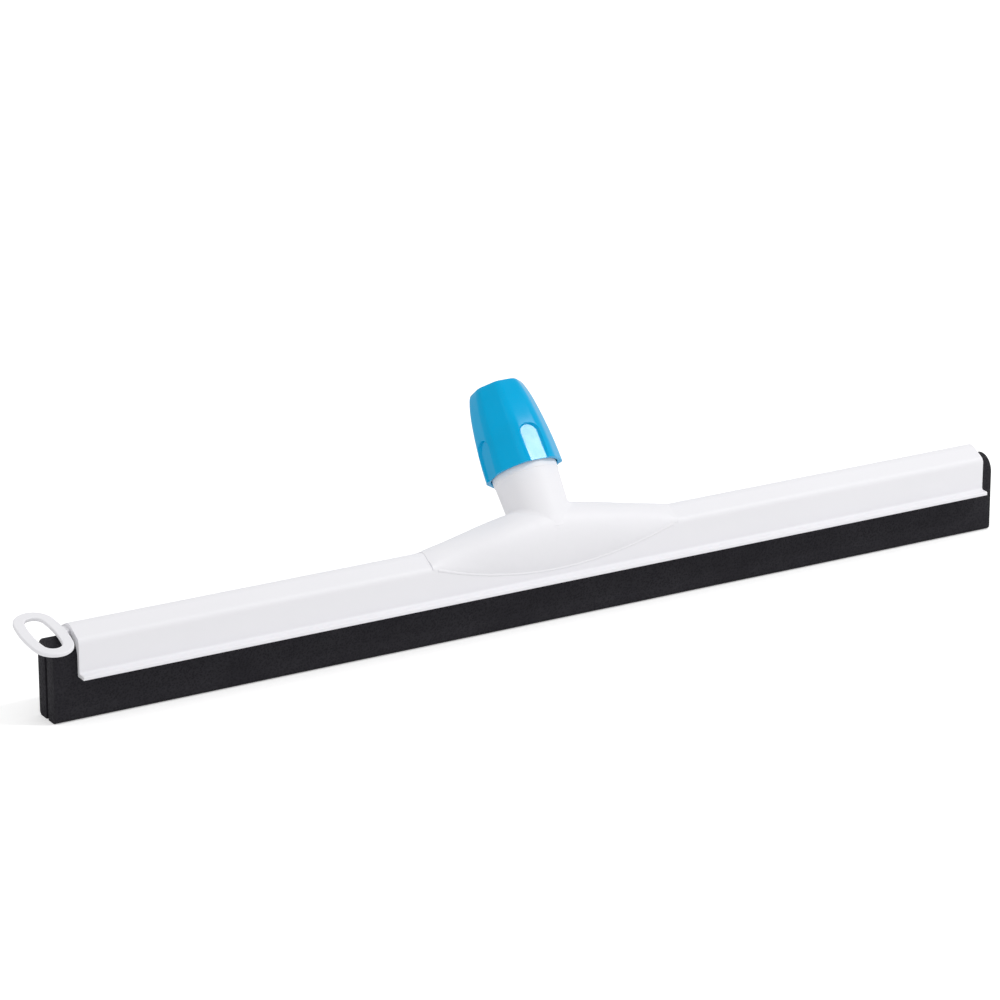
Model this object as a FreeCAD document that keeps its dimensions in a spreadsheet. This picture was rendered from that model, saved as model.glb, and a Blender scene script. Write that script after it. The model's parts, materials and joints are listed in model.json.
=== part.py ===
import FreeCAD, Part
import math
import os

import Sketcher

# Floor squeegee head with a folded cellular-rubber blade, a moulded holder,
# a ring nut that clamps a round handle, and a swivelling hanging ring.
#
# Frame: millimetres, +Z up. X runs along the blade, with the hanging ring at -X.
# The neck leans back towards +Y. The origin is on the working line of the blade
# (Z = 0), in the blade's mid-plane (Y = 0), under the middle of the neck (X = 0).

Vector = FreeCAD.Vector
doc = FreeCAD.newDocument("floor_squeegee_head")

# ---------------------------------------------------------------- driving sizes

sheet = doc.addObject("Spreadsheet::Sheet", "Sizes")

DRIVING_SIZES = [
    # blade: a strip folded over, so that two leaves stand side by side
    ("blade_height", 41.0),
    ("leaf_thickness", 7.7),
    ("leaf_gap", 2.0),
    ("lip_radius", 2.4),
    ("overhang_left", 12.4),
    ("overhang_right", 7.6),
    ("blade_reach", 22.6),
    # core strip in the fold
    ("strip_clearance", 0.2),
    ("strip_inset", 1.3),
    ("strip_end_gap", 6.0),
    # holder rail
    ("rail_length", 530.0),
    ("rail_wall", 1.9),
    ("roof_wall", 6.0),
    ("roof_rise", 6.0),
    ("blade_clearance", 0.4),
    ("flange_width", 4.6),
    ("flange_thickness", 1.8),
    ("flange_edge_radius", 0.7),
    ("flange_root_radius", 1.3),
    ("crease_radius", 3.5),
    ("ridge_radius", 5.5),
    # lens-shaped hub that joins the rail to the neck
    ("hub_half_length", 72.0),
    ("hub_end_step_height", 0.35),
    ("hub_drop", 12.9),
    ("hub_peak", 12.8),
    ("hub_belly", 2.8),
    ("hub_skin_overlap", 0.9),
    # neck
    ("neck_lean", 38.5),
    ("neck_root_depth", 4.0),
    ("neck_foot_taper", 3.0),
    ("neck_foot_radius", 15.4),
    ("neck_top_radius", 16.8),
    ("neck_land_depth", 25.4),
    ("neck_land_step", 0.25),
    ("neck_land_length", 6.6),
    ("neck_length", 57.0),
    ("neck_wall", 2.0),
    ("mouth_chamfer", 0.5),
    ("socket_depth", 39.0),
    ("socket_length", 12.0),
    # screw thread between neck and ring nut
    ("thread_pitch", 4.0),
    ("thread_depth", 1.1),
    ("thread_root_width", 1.5),
    ("thread_crest_width", 0.8),
    ("thread_clearance", 0.35),
    ("thread_sink_depth", 0.2),
    ("neck_thread_turns", 3.0),
    ("nut_thread_turns", 2.5),
    # handle and split collet
    ("handle_radius", 11.0),
    ("collet_grip_clearance", 0.1),
    ("collet_wall", 1.5),
    ("collet_slide_clearance", 0.3),
    ("collet_insertion", 21.0),
    ("collet_lift", 3.6),
    ("collet_shoulder", 2.2),
    ("collet_tip_wall", 0.85),
    ("collet_slot_width", 1.6),
    ("collet_slot_root", 8.0),
    ("collet_nut_clearance", 0.35),
    # ring nut
    ("nut_overlap_length", 22.0),
    ("nut_length", 46.8),
    ("nut_rim_radius", 20.9),
    ("nut_low_height", 10.3),
    ("nut_low_radius", 20.48),
    ("nut_mid_height", 23.0),
    ("nut_mid_radius", 19.26),
    ("nut_high_height", 34.4),
    ("nut_high_radius", 17.6),
    ("nut_top_radius", 14.2),
    ("nut_corner_radius", 7.0),
    ("nut_edge_bevel", 0.8),
    ("nut_skirt_clearance", 0.5),
    ("nut_skirt_length", 8.0),
    ("nut_lip_height", 3.6),
    ("nut_mouth_clearance", 0.75),
    ("flute_width", 9.2),
    ("flute_length", 19.6),
    ("flute_depth", 0.8),
    ("flute_slope", 4.5),
    # hanging ring with its swivel peg
    ("ring_half_width", 11.3),
    ("ring_half_length", 20.2),
    ("ring_end_radius", 10.4),
    ("ring_rim", 5.6),
    ("ring_thickness", 2.2),
    ("ring_edge_radius", 0.7),
    ("ring_tilt", 11.0),
    ("ring_gap", 1.7),
    ("peg_radius", 1.1),
    ("peg_length", 9.0),
    ("peg_clearance", 0.06),
    ("peg_end_clearance", 0.24),
    ("peg_depth_in_roof", 3.3),
    ("peg_head_radius", 1.35),
    ("peg_tip_radius", 0.88),
    ("peg_head_length", 1.6),
    ("tab_width", 8.0),
]

for row, (alias, number) in enumerate(DRIVING_SIZES, start=1):
    sheet.set("A%d" % row, alias)
    sheet.set("B%d" % row, str(number))
    sheet.setAlias("B%d" % row, alias)
doc.recompute()


class Size:
    """A number together with the expression on the sheet that gives it."""

    def __init__(self, value, text):
        self.value = float(value)
        self.text = text

    def join(self, other, sign, value):
        return Size(value, "(%s %s %s)" % (self.text, sign, as_size(other).text))

    def __add__(self, other):
        return self.join(other, "+", self.value + as_size(other).value)

    def __sub__(self, other):
        return self.join(other, "-", self.value - as_size(other).value)

    def __mul__(self, other):
        return self.join(other, "*", self.value * as_size(other).value)

    def __truediv__(self, other):
        return self.join(other, "/", self.value / as_size(other).value)

    def __neg__(self):
        return Size(-self.value, "(-1 * %s)" % self.text)


def as_size(number):
    if isinstance(number, Size):
        return number
    return Size(number, repr(float(number)))


def root(number):
    return Size(math.sqrt(number.value), "sqrt(%s)" % number.text)


def sine(degrees):
    return Size(math.sin(math.radians(degrees.value)), "sin(%s)" % degrees.text)


def cosine(degrees):
    return Size(math.cos(math.radians(degrees.value)), "cos(%s)" % degrees.text)


size = {alias: Size(sheet.get(alias), "Sizes." + alias) for alias, number in DRIVING_SIZES}
ZERO = as_size(0.0)
FACETS = 8
FLUTES = 4
QUARTER_TURN = 90.0

# A full round is built a hair under its half-width, so that its fillets never meet.
ROUND_MARGIN = as_size(0.001)

# ---------------------------------------------------------------- derived sizes

# blade and channel
blade_half = size["leaf_thickness"] + size["leaf_gap"] / 2
blade_fold_centre = size["blade_height"] - blade_half
channel_half = blade_half + size["blade_clearance"]
channel_top = size["blade_height"] + size["blade_clearance"]
rail_half = channel_half + size["rail_wall"]
rail_left = -size["rail_length"] / 2
rail_right = size["rail_length"] / 2
blade_left = rail_left - size["overhang_left"]
blade_right = rail_right + size["overhang_right"]

# rail section
ridge_top = channel_top + size["roof_wall"]
crease_height = ridge_top - size["roof_rise"]
roof_slope = size["roof_rise"] / rail_half
ridge_crown = ridge_top - size["ridge_radius"] * (root(roof_slope * roof_slope + 1) - 1)
flange_half = rail_half + size["flange_width"]
flange_top = size["blade_reach"] + size["flange_thickness"]

# neck axis, measured from the point where it crosses the blade's mid-plane; what the
# neck carries hangs from its mouth
neck_root_height = ridge_crown - size["neck_root_depth"]
land_radius = size["neck_top_radius"] + size["neck_land_step"]
land_start = size["neck_length"] - size["neck_land_depth"]
land_end = land_start + size["neck_land_length"]
grip_radius = size["handle_radius"] + size["collet_grip_clearance"]
collet_radius = grip_radius + size["collet_wall"]
bore_radius = collet_radius + size["collet_slide_clearance"]
thread_root_radius = bore_radius + size["neck_wall"]
thread_crest_radius = thread_root_radius + size["thread_depth"]
land_slope = land_radius - thread_root_radius
socket_floor = size["neck_length"] - size["socket_depth"]
socket_top = socket_floor + size["socket_length"]
collet_foot = size["neck_length"] - size["collet_insertion"]
collet_shoulder_foot = size["neck_length"] + size["collet_lift"]

# ring nut, measured from its rim
half_facet = as_size(180.0 / FACETS)
nut_rim = size["neck_length"] - size["nut_overlap_length"]
skirt_radius = land_radius + size["nut_skirt_clearance"]
nut_root_radius = thread_crest_radius + size["thread_clearance"]
nut_lip_foot = size["nut_length"] - size["nut_lip_height"]
nut_mouth_radius = size["handle_radius"] + size["nut_mouth_clearance"]
skirt_slope = skirt_radius - nut_root_radius
nut_thread_foot = size["nut_skirt_length"] + skirt_slope + size["thread_root_width"] / 2
neck_thread_foot = nut_rim + nut_thread_foot - size["thread_pitch"] / 2
collet_shoulder_radius = nut_root_radius - size["collet_nut_clearance"]
collet_tip_radius = grip_radius + size["collet_tip_wall"]
collet_cone_foot = collet_shoulder_foot + size["collet_shoulder"]
collet_tip = nut_rim + nut_lip_foot - size["collet_nut_clearance"]
nut_cone_foot = collet_cone_foot - nut_rim
nut_cone_top_radius = collet_tip_radius + size["collet_nut_clearance"]

# hanging ring
peg_height = ridge_crown - size["peg_depth_in_roof"]
ring_centre = rail_left - size["ring_gap"] - size["ring_half_width"]


# ---------------------------------------------------------------- small helpers

def plane_of(body, role):
    for feature in body.Origin.OriginFeatures:
        if feature.Role == role:
            return feature
    raise ValueError("no origin feature " + role)


def new_body(label):
    body = doc.addObject("PartDesign::Body", label)
    body.Label = label
    return body


def new_sketch(body, name, role):
    sketch = body.newObject("Sketcher::SketchObject", name)
    sketch.AttachmentSupport = (plane_of(body, role), [""])
    sketch.MapMode = "FlatFace"
    return sketch


def pin(sketch, geometry, point, position):
    """Ties one point of the sketch to a place given by two sizes."""
    across, up = position
    for kind, axis, distance in (("DistanceX", -2, across), ("DistanceY", -1, up)):
        if abs(distance.value) < 1e-9:
            sketch.addConstraint(Sketcher.Constraint("PointOnObject", geometry, point, axis))
        else:
            index = sketch.addConstraint(
                Sketcher.Constraint(kind, -1, 1, geometry, point, distance.value))
            sketch.setExpression("Constraints[%d]" % index, distance.text)


def closed_profile(body, name, role, corners):
    """A sketch of straight edges whose corners are tied to sizes."""
    sketch = new_sketch(body, name, role)
    places = [(as_size(across), as_size(up)) for across, up in corners]
    points = [Vector(across.value, up.value, 0) for across, up in places]
    count = len(points)
    for index in range(count):
        line = Part.LineSegment(points[index], points[(index + 1) % count])
        sketch.addGeometry(line, False)
    for index in range(count):
        following = (index + 1) % count
        sketch.addConstraint(Sketcher.Constraint("Coincident", index, 2, following, 1))
    for index in range(count):
        pin(sketch, index, 1, places[index])
    return sketch


def mirrored(corners):
    """The corners of the right half, followed by the same ones on the left."""
    left = [(-as_size(across), up) for across, up in reversed(corners)]
    return corners + [place for place in left if abs(place[0].value) > 1e-9]


def pad(body, name, sketch, length, symmetric=True):
    feature = body.newObject("PartDesign::Pad", name)
    feature.Profile = sketch
    feature.SideType = "Symmetric" if symmetric else "One side"
    feature.setExpression("Length", as_size(length).text)
    doc.recompute()
    return feature


def revolve(body, name, sketch, axis="V_Axis"):
    feature = body.newObject("PartDesign::Revolution", name)
    feature.Profile = sketch
    feature.ReferenceAxis = (sketch, [axis])
    feature.Angle = 360.0
    doc.recompute()
    return feature


def groove(body, name, sketch, axis="V_Axis"):
    before = body.Shape.Volume
    feature = body.newObject("PartDesign::Groove", name)
    feature.Profile = sketch
    feature.ReferenceAxis = (sketch, [axis])
    feature.Angle = 360.0
    doc.recompute()
    if not body.Shape.Volume < before:
        raise ValueError(name + " removes nothing")
    return feature


def pocket_through(body, name, sketch):
    before = body.Shape.Volume
    feature = body.newObject("PartDesign::Pocket", name)
    feature.Profile = sketch
    feature.SideType = "Symmetric"
    feature.Type = "ThroughAll"
    doc.recompute()
    if not body.Shape.Volume < before:
        raise ValueError(name + " removes nothing")
    return feature


def around(body, name, features, count):
    """Repeats features evenly around the body's Z axis."""
    pattern = body.newObject("PartDesign::PolarPattern", name)
    pattern.Originals = features
    pattern.Axis = (plane_of(body, "Z_Axis"), [""])
    pattern.Angle = 360.0
    pattern.Occurrences = count
    body.Tip = pattern
    doc.recompute()
    return pattern


def edges_where(shape, test):
    """Names of the edges whose every tested point passes."""
    names = []
    for index, edge in enumerate(shape.Edges, start=1):
        middle = edge.valueAt((edge.FirstParameter + edge.LastParameter) / 2)
        points = [vertex.Point for vertex in edge.Vertexes] + [middle]
        if all(test(point) for point in points):
            names.append("Edge%d" % index)
    return names


def round_edges(body, name, base, radius, test):
    names = edges_where(base.Shape, test)
    if not names:
        raise ValueError(name + " finds no edge")
    feature = body.newObject("PartDesign::Fillet", name)
    feature.Base = (base, names)
    feature.setExpression("Radius", radius.text)
    doc.recompute()
    return feature


def near(first, second):
    return abs(first - second) < 1e-4


def along_x_at(across, up):
    """Test for an edge that runs along X at a place of the YZ section."""
    return lambda point: near(abs(point.y), across.value) and near(point.z, up.value)


def place_on_neck(thing, distance):
    """Stands a body that was built along Z on the neck's axis, at a distance from its root."""
    lean = size["neck_lean"]
    back = distance * sine(lean)
    up = neck_root_height + distance * cosine(lean)
    thing.Placement = FreeCAD.Placement(
        Vector(0, back.value, up.value), FreeCAD.Rotation(Vector(-1, 0, 0), lean.value))
    thing.setExpression("Placement.Base.y", back.text)
    thing.setExpression("Placement.Base.z", up.text)
    thing.setExpression("Placement.Rotation.Angle", lean.text)


def helical_ridge(body, name, foot_radius, depth, foot, turns):
    """A screw thread of trapezoid section, rooted just inside its cylinder.

    A positive depth stands outwards and a negative one inwards.
    """
    sink = size["thread_sink_depth"] if depth.value > 0 else -size["thread_sink_depth"]
    half_root = size["thread_root_width"] / 2
    half_crest = size["thread_crest_width"] / 2
    corners = [
        (foot_radius - sink, foot - half_root),
        (foot_radius, foot - half_root),
        (foot_radius + depth, foot - half_crest),
        (foot_radius + depth, foot + half_crest),
        (foot_radius, foot + half_root),
        (foot_radius - sink, foot + half_root),
    ]
    sketch = closed_profile(body, name + "_section", "XZ_Plane", corners)
    before = body.Shape.Volume
    feature = body.newObject("PartDesign::AdditiveHelix", name)
    feature.Profile = sketch
    feature.ReferenceAxis = (sketch, ["V_Axis"])
    feature.Mode = "pitch-turns-angle"
    feature.setExpression("Pitch", size["thread_pitch"].text)
    feature.setExpression("Turns", turns.text)
    doc.recompute()
    if not body.Shape.Volume > before:
        raise ValueError(name + " adds nothing")
    return feature


# ---------------------------------------------------------------- blade

def make_foam_blade():
    """The folded strip: a round top, and two leaves with rounded outer lips."""
    body = new_body("foam_blade")
    gap_half = size["leaf_gap"] / 2
    outline = mirrored([
        (gap_half, ZERO),
        (blade_half, ZERO),
        (blade_half, size["blade_height"]),
    ])
    strip = pad(body, "strip", closed_profile(body, "strip_section", "YZ_Plane", outline),
                blade_right - blade_left)
    fold = round_edges(body, "fold", strip, blade_half - ROUND_MARGIN,
                       along_x_at(blade_half, size["blade_height"]))
    lips = round_edges(body, "lips", fold, size["lip_radius"], along_x_at(blade_half, ZERO))
    slit = mirrored([
        (gap_half, -size["leaf_gap"]),
        (gap_half, blade_fold_centre + gap_half),
    ])
    cut = pocket_through(body, "slit", closed_profile(body, "slit_section", "YZ_Plane", slit))
    round_edges(body, "slit_end", cut, gap_half - ROUND_MARGIN,
                along_x_at(gap_half, blade_fold_centre + gap_half))
    shift = (blade_left + blade_right) / 2
    body.Placement.Base = Vector(shift.value, 0, 0)
    body.setExpression("Placement.Base.x", shift.text)
    return body


def make_core_strip():
    """The stiff strip that spreads the two leaves inside the channel."""
    body = new_body("core_strip")
    half = size["leaf_gap"] / 2 - size["strip_clearance"]
    section = mirrored([
        (half, size["blade_reach"] + size["strip_inset"]),
        (half, blade_fold_centre),
    ])
    length = size["rail_length"] - size["strip_end_gap"] * 2
    pad(body, "strip_bar", closed_profile(body, "strip_bar_section", "YZ_Plane", section), length)
    return body


# ---------------------------------------------------------------- holder

def make_rail():
    """The outside of the rail: flanges, faces and sloped roof."""
    body = new_body("rail")
    section = mirrored([
        (flange_half, size["blade_reach"]),
        (flange_half, flange_top),
        (rail_half, flange_top),
        (rail_half, crease_height),
        (ZERO, ridge_top),
    ])
    bar = pad(body, "rail_bar", closed_profile(body, "rail_section", "YZ_Plane", section),
              size["rail_length"])
    ridge = round_edges(body, "ridge", bar, size["ridge_radius"], along_x_at(ZERO, ridge_top))
    crease = round_edges(body, "crease", ridge, size["crease_radius"],
                         along_x_at(rail_half, crease_height))
    roots = round_edges(body, "flange_roots", crease, size["flange_root_radius"],
                        along_x_at(rail_half, flange_top))
    round_edges(body, "flange_edges", roots, size["flange_edge_radius"],
                along_x_at(flange_half, flange_top))
    return body


def make_channel():
    """The space for the blade: straight walls and a round top."""
    body = new_body("channel")
    section = mirrored([
        (channel_half, size["blade_reach"] - size["flange_thickness"]),
        (channel_half, channel_top),
    ])
    bar = pad(body, "channel_bar", closed_profile(body, "channel_section", "YZ_Plane", section),
              size["rail_length"] + size["roof_wall"])
    round_edges(body, "channel_top", bar, channel_half - ROUND_MARGIN,
                along_x_at(channel_half, channel_top))
    return body


# The hub's half section, from its foot up to a point near the middle: across as a share of
# the half-width, and up as a share of the rise. At the tips it follows the roof of the rail.
# The powers say how the ridge and the belly fall off towards the tips.
HUB_MIDDLE = ((0.45, 0.12), (1.0, 0.42), (0.87, 0.79), (0.47, 0.965))
HUB_TIP = ((0.995, -0.02), (0.875, 0.268), (0.56, 0.551), (0.275, 0.84))
HUB_TIP_SHARE = 0.55
HUB_RIDGE_POWER = 1.08
HUB_BELLY_POWER = 1.5
HUB_STATIONS = (-1.0, -0.94, -0.84, -0.68, -0.45, -0.18, 0.18, 0.45, 0.68, 0.84, 0.94, 1.0)


def hub_section(place):
    """One cross-section of the hub at a distance along the blade from its middle."""
    reach = abs(place) / size["hub_half_length"].value
    overlap = size["hub_skin_overlap"].value
    edge = rail_half.value
    drop = size["hub_peak"].value - size["hub_end_step_height"].value
    top = ridge_crown.value + size["hub_peak"].value - drop * reach ** HUB_RIDGE_POWER
    low = crease_height.value - size["hub_drop"].value * (1.0 - reach ** 2)
    belly = edge + size["hub_belly"].value * (1.0 - reach ** HUB_BELLY_POWER)
    swell = math.sqrt(min(1.0, (1.0 - reach) / HUB_TIP_SHARE))
    half = [Vector(place, edge - overlap, low - 2 * overlap)]
    for index, (across, up) in enumerate(HUB_MIDDLE):
        width = edge + (belly - edge) * across if index == 0 else belly * across
        tip_across, tip_up = HUB_TIP[index]
        width = width * swell + edge * tip_across * (1.0 - swell)
        rise = up * swell + tip_up * (1.0 - swell)
        half.append(Vector(place, width, low + (top - low) * rise))
    other = [Vector(point.x, -point.y, point.z) for point in reversed(half)]
    arch = Part.BSplineCurve()
    arch.interpolate(half + [Vector(place, 0, top)] + other)
    base = Part.LineSegment(other[-1], half[0])
    return Part.Wire([arch.toShape(), base.toShape()])


def make_hub():
    """The lens-shaped mound, lofted smoothly from tip to tip."""
    half_length = size["hub_half_length"].value
    sections = [hub_section(half_length * share) for share in HUB_STATIONS]
    hub = doc.addObject("Part::Feature", "hub")
    hub.Shape = Part.makeLoft(sections, True, False)
    return hub


def make_neck():
    """The neck: a slight cone, a land for the nut's skirt, and the screw thread."""
    body = new_body("neck")
    section = [
        (ZERO, -size["neck_foot_taper"]),
        (size["neck_foot_radius"] - size["neck_foot_taper"], -size["neck_foot_taper"]),
        (size["neck_foot_radius"], ZERO),
        (size["neck_top_radius"], land_start),
        (land_radius, land_start + size["neck_land_step"]),
        (land_radius, land_end),
        (thread_root_radius, land_end + land_slope),
        (thread_root_radius, size["neck_length"] - size["mouth_chamfer"]),
        (thread_root_radius - size["mouth_chamfer"], size["neck_length"]),
        (ZERO, size["neck_length"]),
    ]
    revolve(body, "neck_post", closed_profile(body, "neck_section", "XZ_Plane", section))
    helical_ridge(body, "neck_thread", thread_root_radius, size["thread_depth"],
                  neck_thread_foot, size["neck_thread_turns"])
    place_on_neck(body, ZERO)
    return body


def make_socket():
    """The space in the neck: a bore for the collet over a socket for the handle's end."""
    body = new_body("socket")
    above = size["neck_length"] + size["roof_wall"]
    section = [
        (ZERO, socket_floor),
        (grip_radius, socket_floor),
        (grip_radius, socket_top),
        (bore_radius, socket_top + size["collet_slide_clearance"]),
        (bore_radius, size["neck_length"] - size["mouth_chamfer"]),
        (bore_radius + size["mouth_chamfer"], size["neck_length"]),
        (bore_radius + size["mouth_chamfer"], above),
        (ZERO, above),
    ]
    revolve(body, "socket_space", closed_profile(body, "socket_section", "XZ_Plane", section))
    place_on_neck(body, ZERO)
    return body


def peg_profile(start, face, clearance, end_clearance):
    """Half section of the peg, or of its hole, along X. It is inside the roof past face."""
    tip = face + size["peg_length"] + end_clearance
    head_back = face + size["peg_length"] - size["peg_head_length"] - end_clearance
    return [
        (start, ZERO),
        (start, size["peg_radius"] + clearance),
        (head_back, size["peg_radius"] + clearance),
        (head_back, size["peg_head_radius"] + clearance),
        (tip, size["peg_tip_radius"] + end_clearance),
        (tip, ZERO),
    ]


def make_peg_hole():
    """The space in the roof's left end for the hanging ring's peg and its snap head."""
    body = new_body("peg_hole")
    section = peg_profile(rail_left - size["ring_gap"], rail_left, size["peg_clearance"],
                          size["peg_end_clearance"])
    revolve(body, "peg_space", closed_profile(body, "peg_hole_section", "XY_Plane", section),
            "H_Axis")
    body.Placement.Base = Vector(0, 0, peg_height.value)
    body.setExpression("Placement.Base.z", peg_height.text)
    return body


def make_blade_holder():
    """One moulding: rail, hub and neck, hollowed for the blade, the handle and the peg."""
    solids = doc.addObject("Part::MultiFuse", "holder_solids")
    solids.Shapes = [make_rail(), make_hub(), make_neck()]
    spaces = doc.addObject("Part::MultiFuse", "holder_spaces")
    spaces.Shapes = [make_channel(), make_socket(), make_peg_hole()]
    holder = doc.addObject("Part::Cut", "blade_holder")
    holder.Base = solids
    holder.Tool = spaces
    doc.recompute()
    return holder


# ---------------------------------------------------------------- clamp

def make_handle_collet():
    """The split sleeve: a thin foot in the neck's bore under a slotted cone."""
    body = new_body("handle_collet")
    shoulder = collet_shoulder_foot - collet_foot
    cone = collet_cone_foot - collet_foot
    tip = collet_tip - collet_foot
    section = [
        (grip_radius, ZERO),
        (collet_radius, ZERO),
        (collet_radius, shoulder),
        (collet_shoulder_radius, shoulder),
        (collet_shoulder_radius, cone),
        (collet_tip_radius, tip),
        (grip_radius, tip),
    ]
    revolve(body, "sleeve", closed_profile(body, "sleeve_section", "XZ_Plane", section))
    slot_half = size["collet_slot_width"] / 2
    over = tip + size["collet_slot_width"]
    slot_profile = mirrored([(slot_half, size["collet_slot_root"]), (slot_half, over)])
    slot = pocket_through(body, "slot",
                          closed_profile(body, "slot_section", "XZ_Plane", slot_profile))
    pattern = body.newObject("PartDesign::PolarPattern", "slots")
    pattern.Originals = [slot]
    pattern.Axis = (plane_of(body, "Z_Axis"), [""])
    pattern.Occurrences = 2
    pattern.Mode = "Spacing"
    pattern.Offset = QUARTER_TURN
    body.Tip = pattern
    doc.recompute()
    place_on_neck(body, collet_foot)
    return body


def soft_octagon(body, name, radius, height):
    """A section of the nut: eight flats, towards X and Y, joined by corner arcs."""
    sketch = new_sketch(body, name, "XY_Plane")
    sketch.AttachmentOffset = FreeCAD.Placement(Vector(0, 0, height.value), FreeCAD.Rotation())
    sketch.setExpression("AttachmentOffset.Base.z", height.text)
    corner = size["nut_corner_radius"]
    flat = radius * cosine(half_facet)
    half = radius * sine(half_facet) - corner * sine(half_facet) / cosine(half_facet)
    corner_centre = radius - corner / cosine(half_facet)
    ends = []
    for step in range(FACETS):
        turn = half_facet * (2 * step)
        start = (flat * cosine(turn) + half * sine(turn), flat * sine(turn) - half * cosine(turn))
        end = (flat * cosine(turn) - half * sine(turn), flat * sine(turn) + half * cosine(turn))
        ends.append((start, end))
    for start, end in ends:
        first = Vector(start[0].value, start[1].value, 0)
        last = Vector(end[0].value, end[1].value, 0)
        sketch.addGeometry(Part.LineSegment(first, last), False)
    spread = math.radians(half_facet.value)
    for step in range(FACETS):
        turn = spread * (2 * step + 1)
        centre = Vector(corner_centre.value * math.cos(turn),
                        corner_centre.value * math.sin(turn), 0)
        circle = Part.Circle(centre, Vector(0, 0, 1), corner.value)
        sketch.addGeometry(Part.ArcOfCircle(circle, turn - spread, turn + spread), False)
    for step, (start, end) in enumerate(ends):
        pin(sketch, step, 1, start)
        pin(sketch, step, 2, end)
    for step in range(FACETS):
        arc = FACETS + step
        following = (step + 1) % FACETS
        sketch.addConstraint(Sketcher.Constraint("Coincident", arc, 1, step, 2))
        sketch.addConstraint(Sketcher.Constraint("Coincident", arc, 2, following, 1))
        number = sketch.addConstraint(Sketcher.Constraint("Radius", arc, corner.value))
        sketch.setExpression("Constraints[%d]" % number, corner.text)
    return sketch


def make_ring_nut():
    """The ring nut: eight soft facets, flutes, a threaded bore and a cone for the collet."""
    body = new_body("ring_nut")
    stations = [
        ("rim", size["nut_rim_radius"], ZERO),
        ("low", size["nut_low_radius"], size["nut_low_height"]),
        ("mid", size["nut_mid_radius"], size["nut_mid_height"]),
        ("high", size["nut_high_radius"], size["nut_high_height"]),
        ("top", size["nut_top_radius"], size["nut_length"]),
    ]
    sections = [soft_octagon(body, "nut_" + name, radius, height)
                for name, radius, height in stations]
    hull = body.newObject("PartDesign::AdditiveLoft", "nut_hull")
    hull.Profile = sections[0]
    hull.Sections = sections[1:]
    doc.recompute()
    crown_start = size["nut_top_radius"] * cosine(half_facet) - size["nut_edge_bevel"]
    past_edge = size["nut_lip_height"]
    crown = [
        (crown_start, size["nut_length"]),
        (crown_start + past_edge, size["nut_length"] - past_edge),
        (crown_start + past_edge, size["nut_length"] + past_edge),
        (crown_start, size["nut_length"] + past_edge),
    ]
    groove(body, "nut_crown", closed_profile(body, "nut_crown_section", "XZ_Plane", crown))
    inside = [
        (ZERO, -size["nut_lip_height"]),
        (skirt_radius, -size["nut_lip_height"]),
        (skirt_radius, size["nut_skirt_length"]),
        (nut_root_radius, size["nut_skirt_length"] + skirt_slope),
        (nut_root_radius, nut_cone_foot),
        (nut_cone_top_radius, nut_lip_foot),
        (nut_mouth_radius, nut_lip_foot),
        (nut_mouth_radius, size["nut_length"] + size["nut_lip_height"]),
        (ZERO, size["nut_length"] + size["nut_lip_height"]),
    ]
    groove(body, "nut_inside", closed_profile(body, "nut_inside_section", "XZ_Plane", inside))
    flat_distance = size["nut_rim_radius"] * cosine(half_facet) - size["flute_depth"]
    flute_half = size["flute_width"] / 2
    flute = new_sketch(body, "flute_outline", "XZ_Plane")
    slope = size["flute_slope"]
    flute.AttachmentOffset = FreeCAD.Placement(
        Vector(0, 0, flat_distance.value), FreeCAD.Rotation(Vector(-1, 0, 0), slope.value))
    flute.setExpression("AttachmentOffset.Base.z", flat_distance.text)
    flute.setExpression("AttachmentOffset.Rotation.Angle", slope.text)
    arc_centre = size["flute_length"] - flute_half
    low = -flute_half
    flute.addGeometry(Part.LineSegment(Vector(flute_half.value, arc_centre.value, 0),
                                       Vector(flute_half.value, low.value, 0)), False)
    flute.addGeometry(Part.LineSegment(Vector(flute_half.value, low.value, 0),
                                       Vector(low.value, low.value, 0)), False)
    flute.addGeometry(Part.LineSegment(Vector(low.value, low.value, 0),
                                       Vector(low.value, arc_centre.value, 0)), False)
    circle = Part.Circle(Vector(0, arc_centre.value, 0), Vector(0, 0, 1), flute_half.value)
    flute.addGeometry(Part.ArcOfCircle(circle, 0, math.pi), False)
    for first, second, end in ((0, 1, 1), (1, 2, 1), (2, 3, 2)):
        flute.addConstraint(Sketcher.Constraint("Coincident", first, 2, second, end))
    flute.addConstraint(Sketcher.Constraint("Coincident", 3, 1, 0, 1))
    pin(flute, 0, 1, (flute_half, arc_centre))
    pin(flute, 1, 1, (flute_half, low))
    pin(flute, 2, 1, (-flute_half, low))
    pin(flute, 2, 2, (-flute_half, arc_centre))
    number = flute.addConstraint(
        Sketcher.Constraint("DistanceY", -1, 1, 3, 3, arc_centre.value))
    flute.setExpression("Constraints[%d]" % number, arc_centre.text)
    before = body.Shape.Volume
    cut = body.newObject("PartDesign::Pocket", "flute")
    cut.Profile = flute
    cut.SideType = "One side"
    cut.Type = "Length"
    cut.Reversed = True
    cut.setExpression("Length", size["nut_lip_height"].text)
    doc.recompute()
    if not body.Shape.Volume < before:
        raise ValueError("the flute removes nothing")
    around(body, "flutes", [cut], FLUTES)
    helical_ridge(body, "nut_thread", nut_root_radius, -size["thread_depth"],
                  nut_thread_foot, size["nut_thread_turns"])
    place_on_neck(body, nut_rim)
    return body


# ---------------------------------------------------------------- hanging ring

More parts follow.
